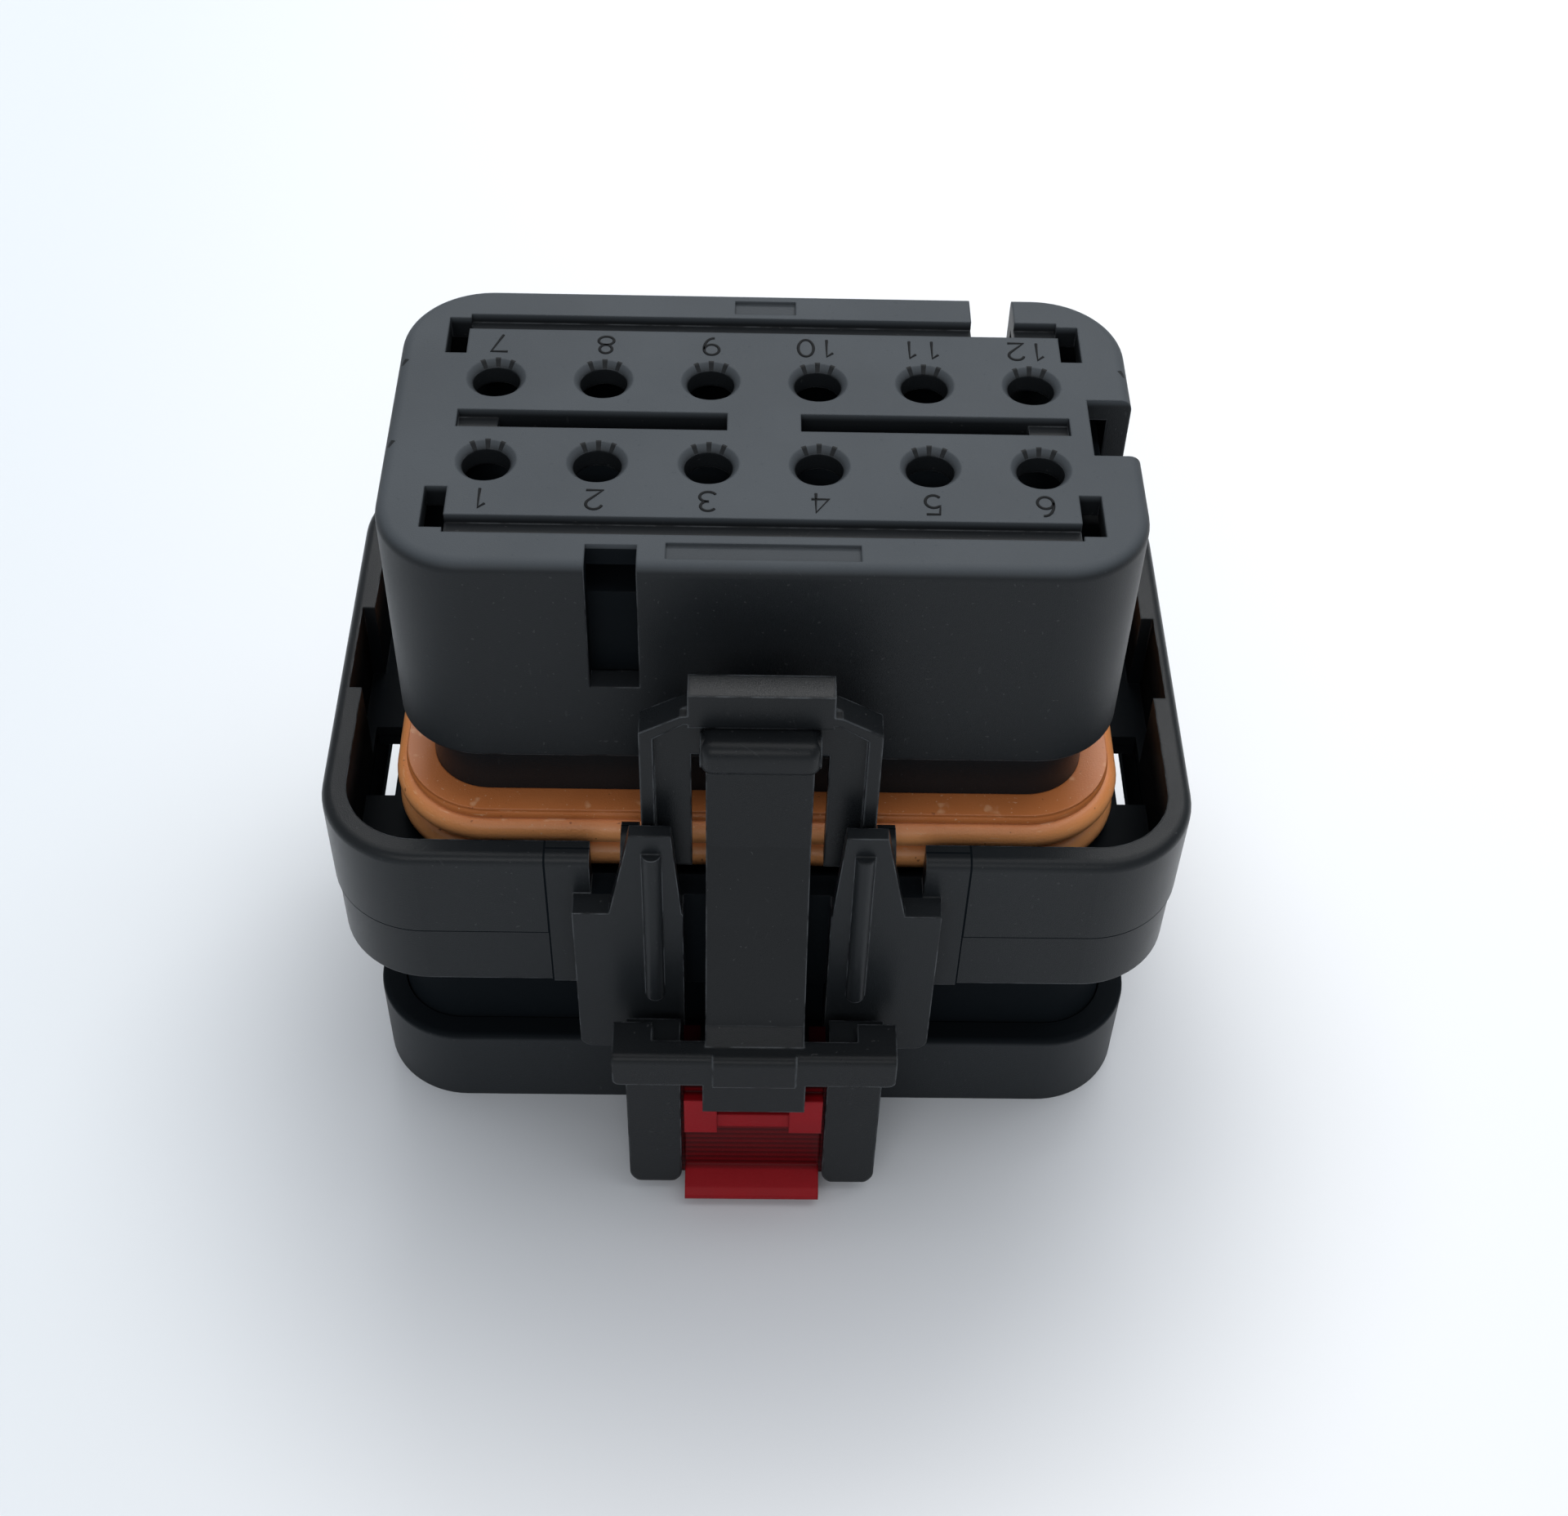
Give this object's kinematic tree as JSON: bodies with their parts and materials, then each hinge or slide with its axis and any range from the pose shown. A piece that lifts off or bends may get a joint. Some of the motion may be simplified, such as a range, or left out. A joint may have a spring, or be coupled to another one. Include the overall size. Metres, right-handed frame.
{
  "type": "sealed rectangular plug connector",
  "caption": "Sealed two-row plug connector with a sliding lock plate, ring seal, wire seal, rear cover, sprung latch lever and locking slide.",
  "frame": {"origin": "centre of the contact grid on the flat rear face that the plug stands on", "axes": "+Z from the wire end to the mating face, +X along the contact rows, -Y towards the latch"},
  "size_m": [0.0504, 0.039, 0.0453],
  "materials": {
    "black_plastic": "satin",
    "grey_plastic": "satin",
    "latch_plastic": "satin",
    "orange_silicone": "satin",
    "red_plastic": "satin"
  },
  "bodies": {
    "plug_body": {"housing": "black_plastic", "ring_seal": "orange_silicone", "wire_seal": "orange_silicone", "rear_cover": "black_plastic"},
    "lock_plate": {"lock_plate": "grey_plastic"},
    "latch": {"latch_lever": "latch_plastic"},
    "lock_slide": {"locking_slide": "red_plastic"}
  },
  "joints": [
    {"name": "plate_travel", "type": "slide", "parent": "plug_body", "child": "lock_plate", "axis": [0, 0, -1], "range_m": [0, 0.0016]},
    {"name": "latch_press", "type": "hinge", "parent": "plug_body", "child": "latch", "pos_m": [0, -0.0161, 0.0278], "axis": [1, 0, 0], "range_deg": [0, 2.8], "stiffness_Nm_per_rad": 0.3},
    {"name": "slide_travel", "type": "slide", "parent": "latch", "child": "lock_slide", "axis": [0, 0, 1], "range_m": [0, 0.002]}
  ]
}
